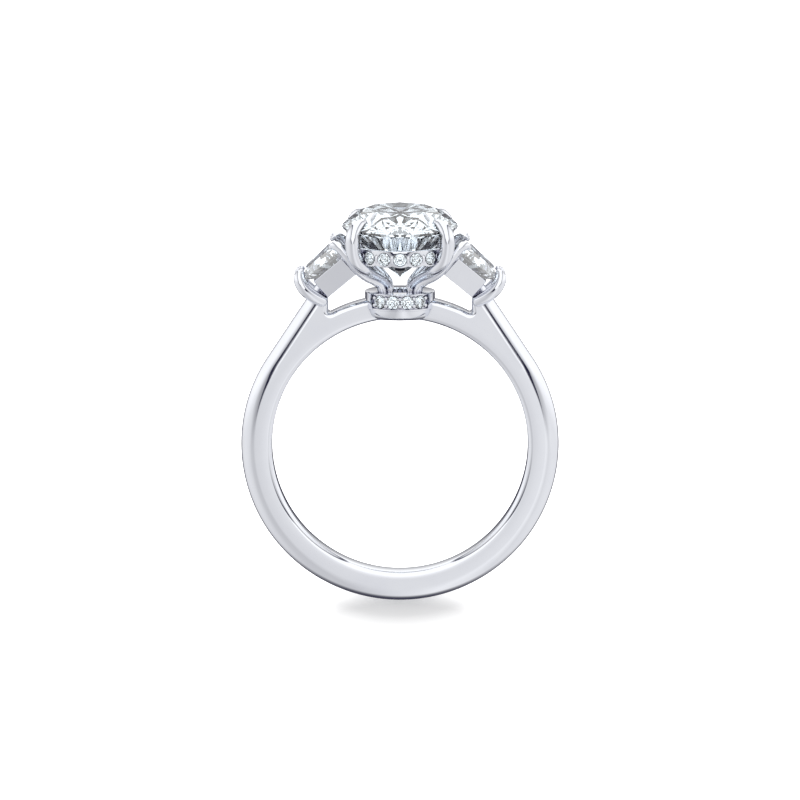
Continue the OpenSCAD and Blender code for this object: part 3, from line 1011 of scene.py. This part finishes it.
@dataclass
class CentreClaws:
    """The four claws that rise from the collar and close over the centre stone."""

    sizes: RingSizes
    thickness: float = 0.96
    azimuth_deg: float = 50.2
    # How far a claw stands outside the stone, its root's distance from the middle, and the
    # girdle's height above the collar
    stand: float = 0.35
    root: float = 1.1
    rise: float = 4.1
    # Height above the collar as a share of the girdle's, way out as a share of the reach,
    # and thickness as a share of the claw's
    route: tuple[tuple[float, float, float], ...] = (
        (-0.07, 0.00, 0.62), (0.01, 0.00, 0.62), (0.10, 0.02, 0.60), (0.20, 0.16, 0.60),
        (0.285, 0.34, 0.64), (0.36, 0.53, 0.74), (0.44, 0.71, 0.88), (0.55, 0.87, 0.97),
        (0.68, 0.965, 1.00), (0.82, 1.00, 1.00), (0.94, 0.99, 1.00), (1.03, 0.93, 1.00),
        (1.10, 0.83, 0.90), (1.13, 0.74, 0.72))

    def claw(self, side: Side, face: Face) -> Patch:
        """Works out one claw, a circle carried along its route.

        The stone's edge lies at 1 / sqrt((cos w / a)^2 + (sin w / b)^2) from the middle.

        Args:
            side: The side of the ring that it stands on.
            face: The face of the ring that it stands on.

        Returns:
            The claw.
        """
        s = self.sizes
        turn = math.radians(self.azimuth_deg)
        cos, sin = math.cos(turn), math.sin(turn)
        edge = 1 / math.hypot(cos / s.centre_a, sin / s.centre_b)
        height, way, share = np.array(self.route).T
        out = self.root + (edge + self.stand - self.root) * way
        return swept_bar(np.stack([side.value * out * cos, face.value * out * sin,
                                   s.collar_top + self.rise * height,
                                   self.thickness / 2 * share], -1))

    def build(self, ring_frame: RingFrame) -> list[bpy.types.Object]:
        """Makes the four claws, notched for the stone.

        Args:
            ring_frame: Where the ring lies.

        Returns:
            The claws.
        """
        bed = grown_copy("centre_stone", self.sizes.gap * MM)
        claws = []
        for side in Side:
            for face in Face:
                name = f"centre_claw_{face.name.lower()}_{side.name.lower()}"
                claws.append(make_piece(name, [self.claw(side, face)], ring_frame))
                carve(claws[-1], [bed])
        discard([bed])
        return claws


@dataclass
class SideSetting:
    """One side basket: its four walls, two outer claws and two inner claws."""

    sizes: RingSizes
    side: Side
    # The walls, the rounding of their edges, and how far the stone reaches over them
    wall: float = 0.3
    soft_edge: float = 0.05
    overhang_in: float = 0.12
    overhang_side: float = 0.08
    outer_d: float = 0.82
    inner_d: float = 0.68
    # Outer and inner claws beside the stone: height as a share of the basket's, distance out
    # from the stone's end and across from its corner, and thickness, as shares of the claw's
    outer_route: tuple[tuple[float, float, float, float], ...] = (
        (0.06, 0.20, -0.25, 0.92), (0.30, 0.36, -0.10, 0.98), (0.62, 0.52, 0.06, 1.00),
        (0.95, 0.60, 0.14, 1.00), (1.28, 0.54, 0.14, 0.98), (1.52, 0.38, 0.04, 0.88),
        (1.66, 0.12, -0.12, 0.70), (1.68, -0.08, -0.24, 0.50))
    inner_route: tuple[tuple[float, float, float, float], ...] = (
        (0.72, 0.42, 0.12, 1.00), (1.12, 0.46, 0.16, 1.00), (1.46, 0.42, 0.10, 0.96),
        (1.67, 0.16, -0.06, 0.84), (1.70, -0.10, -0.20, 0.58))
    # Inner claw below the stone: shares of the way out and up from its root, and thickness
    stem: tuple[tuple[float, float, float], ...] = (
        (0.00, -0.06, 0.84), (0.08, 0.19, 0.84), (0.25, 0.34, 0.86), (0.44, 0.44, 0.88),
        (0.63, 0.58, 0.94), (0.80, 0.75, 1.00))
    # Its root on the collar's top, out and along the finger, as shares of the collar's radius
    root: tuple[float, float] = (0.49, 0.498)

    def basket(self) -> Patch:
        """Works out the walls: four corners carried up the outside and down the inside.

        Returns:
            The closed walls of the right basket.
        """
        s = self.sizes
        long = s.side_l - s.basket_out - self.overhang_in

        def corners(inset: float, z: float) -> Array:
            """Four corners, where the wall follows the stone's sides.

            Args:
                inset: How far they are drawn in.
                z: Their height.

            Returns:
                The corners, in order round the basket.
            """
            near, far = inset, long - inset
            a = s.side_half(near + s.basket_out) - self.overhang_side - inset
            b = s.side_half(far + s.basket_out) - self.overhang_side - inset
            return np.array([[near, -a, z], [far, -b, z], [far, b, z], [near, a, z]])

        rings = np.stack([corners(0, 0), corners(0, s.basket_h), corners(self.wall, s.basket_h),
                          corners(self.wall, 0)])
        return grid(s.from_side(rings), wrap_u=True, wrap_v=True)

    def outer_claw(self, face: Face) -> Patch:
        """Works out a claw at the stone's narrow end, which stands on the shoulder.

        Args:
            face: The face of the ring that it stands on.

        Returns:
            The right basket's claw.
        """
        s = self.sizes
        height, out, over, share = np.array(self.outer_route).T
        middle = s.from_side(np.stack([-s.basket_out - self.outer_d * out,
                                       face.value * (s.side_narrow / 2 + self.outer_d * over),
                                       s.basket_h * height], -1))
        return swept_bar(np.column_stack([middle, self.outer_d / 2 * share]))

    def inner_claw(self, face: Face) -> Patch:
        """Works out a claw at the stone's wide end, which runs down to the collar.

        Args:
            face: The face of the ring that it stands on.

        Returns:
            The right basket's claw, whose stem passes under the centre claw.
        """
        s = self.sizes
        height, out, over, share = np.array(self.inner_route).T
        upper = s.from_side(np.stack([s.side_l - s.basket_out + self.inner_d * out,
                                      s.side_wide / 2 + self.inner_d * over,
                                      s.basket_h * height], -1))
        root = np.array([*(s.collar_r * np.array(self.root)), s.collar_top])
        way, up, thick = np.array(self.stem).T
        stem = root + (upper[0] - root) * np.stack([way, way, up], -1)
        rows = np.vstack([np.column_stack([stem, self.inner_d / 2 * thick]),
                          np.column_stack([upper, self.inner_d / 2 * share])])
        rows[:, 1] *= face.value
        return swept_bar(rows)

    def build(self, ring_frame: RingFrame) -> list[bpy.types.Object]:
        """Makes the basket and its claws, notched for the side stone and the centre stone.

        Args:
            ring_frame: Where the ring lies.

        Returns:
            The basket and then its claws.
        """
        label = self.side.name.lower()
        beds = [grown_copy(f"side_stone_{label}", self.sizes.gap * MM),
                grown_copy("centre_stone", self.sizes.gap * MM)]
        pieces = []
        shapes = [("side_basket", self.basket())]
        for face in Face:
            shapes.append((f"outer_claw_{face.name.lower()}", self.outer_claw(face)))
            shapes.append((f"inner_claw_{face.name.lower()}", self.inner_claw(face)))
        for name, patch in shapes:
            if self.side is Side.LEFT:
                patch = patch.flipped(0)
            piece = make_piece(f"{name}_{label}", [patch], ring_frame)
            if name != "side_basket":
                carve(piece, beds)
            pieces.append(piece)
        soften(pieces[0], self.soft_edge)
        discard(beds)
        return pieces


def soften(piece: bpy.types.Object, radius_mm: float) -> None:
    """Rounds the sharp edges of a piece, as polishing does.

    Args:
        piece: The piece.
        radius_mm: How far the rounding reaches from an edge.
    """
    bevel = piece.modifiers.new("softened_edges", "BEVEL")
    bevel.width = radius_mm * MM
    bevel.segments = 3
    bevel.limit_method = "ANGLE"
    bevel.angle_limit = math.radians(40)


def dress(piece: bpy.types.Object, material: bpy.types.Material,
          smooth_deg: float = 32.0) -> None:
    """Gives a metal piece its finish, its shading and its place on the ring.

    Args:
        piece: The piece, with its mesh final.
        material: Its finish.
        smooth_deg: Edges that bend more than this stay crisp.
    """
    piece.data.materials.clear()
    piece.data.materials.append(material)
    piece.data.shade_smooth()
    piece.data.set_sharp_from_angle(angle=math.radians(smooth_deg))
    weighted = piece.modifiers.new("even_shading", "WEIGHTED_NORMAL")
    weighted.keep_sharp = True
    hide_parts("mounting")
    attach(piece, "root")


@dataclass(frozen=True)
class WhiteRoom:
    """What the ring mirrors: a white room with thin dark flags, as a picture on the world.

    It is worked out from the direction (x, y, z) that a ray leaves in, where z points up from
    the floor, y from the finger hole to the centre stone and x across the ring, with across
    for |x|:

    - edge is the larger of lean_x * across + lean_y * y + shift and across - reach. Inside,
      where it is below zero, is the ceiling, and a dark flag hangs where it is about zero.
    - Outside are walls: their shade follows x, grows with y, and fades towards the edge.
    - Where y is low there is no ceiling and no flag, and the lower walls show.
    - What lies under the ring is dark, where z + under_y * max(y, 0) is low. A ray that has
      bounced three times or more keeps its light there, because metal has darkened it already.
    - What lies under and before the band is dark, where y + front_z * z is low.
    - The whole is tinted by a screen of navy, which shows in the dark flags alone.
    """

    # How the flags lean together, and how far across they reach at most
    lean_x: float = 0.6727
    lean_y: float = -0.74
    shift: float = -0.3158
    reach: float = 0.48
    # The ceiling's brightness, and the values of edge between which it sets in
    ceiling: float = 1.2
    ceiling_edge: tuple[float, float] = (0.01, -0.01)
    # Places from -1 to 1, on x for the walls and on edge for the flags, with their greys
    walls: Stops = ((-1.0, 0.90), (-0.7, 0.80), (-0.4, 0.67), (-0.2, 0.64), (0.0, 0.82),
                    (0.18, 1.02), (0.4, 0.90), (1.0, 0.90))
    low_walls: Stops = ((-1.0, 0.90), (-0.75, 0.80), (-0.5, 0.655), (-0.25, 0.63), (0.0, 0.83),
                        (0.18, 0.98), (0.35, 0.90), (0.5, 0.81), (0.7, 0.86), (1.0, 0.92))
    flags: Stops = ((-0.035, 1.0), (-0.015, 0.01), (0.035, 0.01), (0.06, 1.0))
    # Each range: where a value begins and ends to change, and what it gives there if not 0 and 1
    lift: tuple[float, ...] = (-0.12, 0.3, 0.0, 0.3)
    wall_fade: tuple[float, ...] = (0.0, 0.35, 0.55, 1.0)
    low: tuple[float, ...] = (-0.33, -0.24)
    flag_fade: tuple[float, ...] = (-0.24, -0.31)
    under_y: float = 0.5
    under: tuple[float, ...] = (-0.97, -0.6, 0.03, 1.0)
    front_z: float = 0.8
    front: tuple[float, ...] = (-1.32, -0.95, 0.03, 1.0)
    bounce: tuple[float, ...] = (2.4, 2.6)
    tint: str = "#191936"
    # The lamps that a stone gathers: cells of the direction, with x mirrored, each of them
    # dark, grey or bright by its own draw from 0 to 1
    chip_scale: float = 5.2
    chips: Stops = ((0.0, 0.0), (0.23, 0.0), (0.24, 0.5), (0.34, 0.5), (0.35, 1.8), (1.0, 1.8))
    chip_tint: str = "#F2FAFF"

    def make(self) -> None:
        """Paints the room on the world.

        It tells rays apart by their kind: the camera's see plain white behind the ring, those
        out of a stone see spotted lamps, and those off metal see the walls and flags.
        """
        world = bpy.data.worlds.new("studio")
        bpy.context.scene.world = world
        recipe = blank_recipe(world)
        recipe.add("look", "TexCoord")
        recipe.add("path", "LightPath")
        recipe.add("mirrored", "VectorMath", {"operation": "ABSOLUTE"}, {0: ("look", "Generated")})
        recipe.add("twin", "SeparateXYZ", links={0: "mirrored"})
        recipe.add("dir", "SeparateXYZ", links={0: ("look", "Generated")})
        self.shade(recipe)
        self.gather(recipe)
        recipe.add("mirror", "Mix", {"data_type": "RGBA"}, {
            0: ("path", "Is Transmission Ray"), 6: ("tinted", 2), 7: ("sparks", 2)})
        recipe.add("seen", "Mix", {"data_type": "RGBA", 7: linear("#FFFFFF")}, {
            0: ("path", "Is Camera Ray"), 6: ("mirror", 2)})
        recipe.add("sky", "Background", {"Strength": 1.0}, {"Color": ("seen", 2)})
        recipe.add("out", "OutputWorld", links={"Surface": "sky"})

    def shade(self, recipe: Recipe) -> None:
        """Adds what metal mirrors, up to the node "tinted".

        Args:
            recipe: The world's recipe, with the direction split in "dir" and "twin".
        """
        across, x, y, z = ("twin", "X"), ("dir", "X"), ("dir", "Y"), ("dir", "Z")
        recipe.add("slope", "Math", {"operation": "MULTIPLY_ADD", 1: self.lean_y, 2: self.shift},
                   {0: y})
        recipe.add("slant", "Math", {"operation": "MULTIPLY_ADD", 1: self.lean_x},
                   {0: across, 2: "slope"})
        recipe.add("past", "Math", {"operation": "SUBTRACT", 1: self.reach}, {0: across})
        recipe.add("edge", "Math", {"operation": "MAXIMUM"}, {0: "slant", 1: "past"})
        for name, source, stops in (("walls", x, self.walls), ("low_walls", x, self.low_walls),
                                    ("flags", "edge", self.flags)):
            recipe.add(name + "_share", "Math", {"operation": "MULTIPLY_ADD", 1: 0.5, 2: 0.5},
                       {0: source})
            recipe.add(name, "ValToRGB", {"stops": [((at + 1) / 2, grey) for at, grey in stops]},
                       {0: name + "_share"})
        recipe.add("above", "Math", {"operation": "MAXIMUM", 1: 0.0}, {0: y})
        recipe.add("under_way", "Math", {"operation": "MULTIPLY_ADD", 1: self.under_y},
                   {0: "above", 2: z})
        recipe.add("front_way", "Math", {"operation": "MULTIPLY_ADD", 1: self.front_z},
                   {0: z, 2: y})
        for name, source, span in (
                ("lift", y, self.lift), ("fade", "edge", self.wall_fade), ("low", y, self.low),
                ("overhead", "edge", self.ceiling_edge), ("flag_fade", y, self.flag_fade),
                ("under", "under_way", self.under), ("front", "front_way", self.front),
                ("bounce", ("path", "Ray Depth"), self.bounce)):
            recipe.add(name, "MapRange", eased(*span), {"Value": source})
        for name, kind, first, second in (
                ("lit_walls", "ADD", "walls", "lift"), ("faded", "MULTIPLY", "lit_walls", "fade"),
                ("white", "MULTIPLY", "overhead", "low"),
                ("hung", "MAXIMUM", "flags", "flag_fade"), ("sunk", "MAXIMUM", "under", "bounce"),
                ("dark", "MULTIPLY", "hung", "front"), ("darkness", "MULTIPLY", "dark", "sunk")):
            recipe.add(name, "Math", {"operation": kind}, {0: first, 1: second})
        recipe.add("sides", "Mix", {"data_type": "FLOAT"}, {0: "low", 2: "low_walls", 3: "faded"})
        recipe.add("room", "Mix", {"data_type": "FLOAT", 3: self.ceiling}, {0: "white", 2: "sides"})
        recipe.add("dimmed", "Math", {"operation": "MULTIPLY"}, {0: "room", 1: "darkness"})
        recipe.add("tinted", "Mix", {"data_type": "RGBA", "blend_type": "SCREEN", 0: 1.0,
                                     7: linear(self.tint)}, {6: "dimmed"})

    def gather(self, recipe: Recipe) -> None:
        """Adds what a cut stone gathers, up to the node "sparks".

        Args:
            recipe: The world's recipe, with the direction split in "dir" and "twin".
        """
        recipe.add("twin_way", "CombineXYZ", links={
            "X": ("twin", "X"), "Y": ("dir", "Y"), "Z": ("dir", "Z")})
        recipe.add("cells", "TexVoronoi", {"Scale": self.chip_scale}, {"Vector": "twin_way"})
        recipe.add("draw", "SeparateXYZ", links={0: ("cells", "Color")})
        recipe.add("chips", "ValToRGB", {"stops": self.chips}, {0: ("draw", "X")})
        recipe.add("sparks", "Mix", {"data_type": "RGBA", "blend_type": "MULTIPLY", 0: 1.0,
                                     7: linear(self.chip_tint)}, {6: "chips"})


@dataclass(frozen=True)
class WhiteCard:
    """White card, pressed and uncoated.

    The eye gets an even, bright, matt ground with a soft shadow in front of the ring. Its
    glow is painted light, which whites out the ring's shade on the card outside an oval in
    front of the ring.
    """

    colour: str = "#F7F7F7"
    # Painted light: the card glows, so that shade from the ring shows only inside the oval
    glow: float = 1.02
    # The oval in front of the ring that doesn't glow: its half axes, its middle, and the
    # shares of its half axes between which the glow sets in
    shade_mm: tuple[float, float] = (9.5, 3.6)
    shade_y_mm: float = -15.2
    shade_edge: tuple[float, float] = (0.55, 1.1)

    def make(self) -> bpy.types.Material:
        """Builds the material.

        Its glow follows the length of (x / a, (y - y0) / b), for an oval with the half axes a
        and b and its middle at y0.

        Returns:
            The material, which glows a little outside the oval.
        """
        material = bpy.data.materials.new("white_card")
        a, b = self.shade_mm
        recipe = blank_recipe(material)
        recipe.add("place", "TexCoord")
        recipe.add("oval", "VectorMath", {
            "operation": "MULTIPLY_ADD", 1: (1 / (a * MM), 1 / (b * MM), 0),
            2: (0, -self.shade_y_mm / b, 0)}, {0: ("place", "Object")})
        recipe.add("away", "VectorMath", {"operation": "LENGTH"}, {0: "oval"})
        recipe.add("glow", "MapRange", eased(*self.shade_edge, 0.0, self.glow),
                   {"Value": ("away", "Value")})
        recipe.add("card", "BsdfPrincipled", {
            "Base Color": linear(self.colour), "Roughness": 1.0, "Specular IOR Level": 0.0,
            "Emission Color": linear("#FFFFFF")}, {"Emission Strength": "glow"})
        recipe.add("out", "OutputMaterial", links={"Surface": "card"})
        return material


@dataclass
class Studio:
    """The camera, the pale floor and the soft lamp."""

    ring_frame: RingFrame
    # The camera looks at this height on the upright ring, from this angle above its hole
    target_z: float = 2.84
    elevation_deg: float = 8.96
    distance_mm: float = 415.0
    lens_mm: float = 289.6
    sensor_mm: float = 36.0
    # Half the floor's side, in metres
    floor_half: float = 0.6
    # The lamp's strength, its width in the sky, and how far it is turned down from overhead
    lamp_energy: float = 3.2
    lamp_angle_deg: float = 36.0
    lamp_turn_deg: float = -56.0

    def camera(self) -> None:
        """Places the camera at the photograph's angle to the ring."""
        lean = math.atan2(self.ring_frame.upward[2], self.ring_frame.upward[1])
        angle = math.radians(self.elevation_deg) - lean
        back = Vector((0.0, math.sin(angle), math.cos(angle)))
        target = Vector(self.ring_frame.place(np.array([[0.0, 0.0, self.target_z]]))[0])
        right = Vector(CROSS)
        data = bpy.data.cameras.new("camera")
        data.lens = self.lens_mm
        data.sensor_width = self.sensor_mm
        camera = bpy.data.objects.new("camera", data)
        turn = Matrix((right, back.cross(right), back)).transposed().to_4x4()
        camera.matrix_world = Matrix.Translation(target + back * self.distance_mm * MM) @ turn
        bpy.context.scene.collection.objects.link(camera)
        bpy.context.scene.camera = camera

    def floor(self) -> None:
        """Lays the white card under the ring."""
        half = self.floor_half
        mesh = bpy.data.meshes.new("floor")
        mesh.from_pydata([(-half, -half, 0), (half, -half, 0), (half, half, 0), (-half, half, 0)],
                         [], [(0, 1, 2, 3)])
        mesh.materials.append(WhiteCard().make())
        floor = bpy.data.objects.new("floor", mesh)
        bpy.context.scene.collection.objects.link(floor)
        keep_out_of_mirrors(floor)

    def lamp(self) -> None:
        """Hangs one soft lamp, which casts the shadow on the card."""
        data = bpy.data.lights.new("soft_lamp", "SUN")
        data.energy = self.lamp_energy
        data.angle = math.radians(self.lamp_angle_deg)
        lamp = bpy.data.objects.new("soft_lamp", data)
        lamp.matrix_world = Matrix.Rotation(math.radians(self.lamp_turn_deg), 4, "X")
        bpy.context.scene.collection.objects.link(lamp)
        keep_out_of_mirrors(lamp)


def keep_out_of_mirrors(thing: bpy.types.Object) -> None:
    """Hides a thing from mirror and glass rays, so that the ring mirrors the white room alone.

    Args:
        thing: The floor or the lamp.
    """
    thing.visible_glossy = False
    thing.visible_transmission = False


def main() -> None:
    """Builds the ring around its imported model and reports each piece."""
    logging.basicConfig(level=logging.INFO, format="%(message)s")
    record = frame["record"]
    ring_frame = RingFrame.from_record(record)
    sizes = RingSizes()
    studio = Studio(ring_frame)
    studio.camera()
    studio.floor()
    studio.lamp()
    WhiteRoom().make()
    bpy.context.scene.view_settings.view_transform = "Standard"

    gold = PolishedWhiteGold().make()
    diamond = CutDiamond().make()
    step_cut = CutDiamond(name="step_cut_diamond", glow=0.05).make()
    pieces = [Shank(sizes).build(ring_frame)]
    pieces += Collar(sizes).build(ring_frame)
    pieces += HiddenHalo(sizes).build(ring_frame)
    pieces += CentreClaws(sizes).build(ring_frame)
    for side in Side:
        pieces += SideSetting(sizes, side).build(ring_frame)
    for piece in pieces:
        dress(piece, gold)
        log.info("%s: %d faces", piece.name, len(piece.data.polygons))
    stones = {name: node for name, node in frame["nodes"].items() if name != "mounting"}
    for name, stone in stones.items():
        stone.data.materials.clear()
        stone.data.materials.append(step_cut if name.startswith("side_stone") else diamond)
        log.info("%s: %d faces, kept", name, len(stone.data.polygons))


if __name__ == "__main__":
    main()
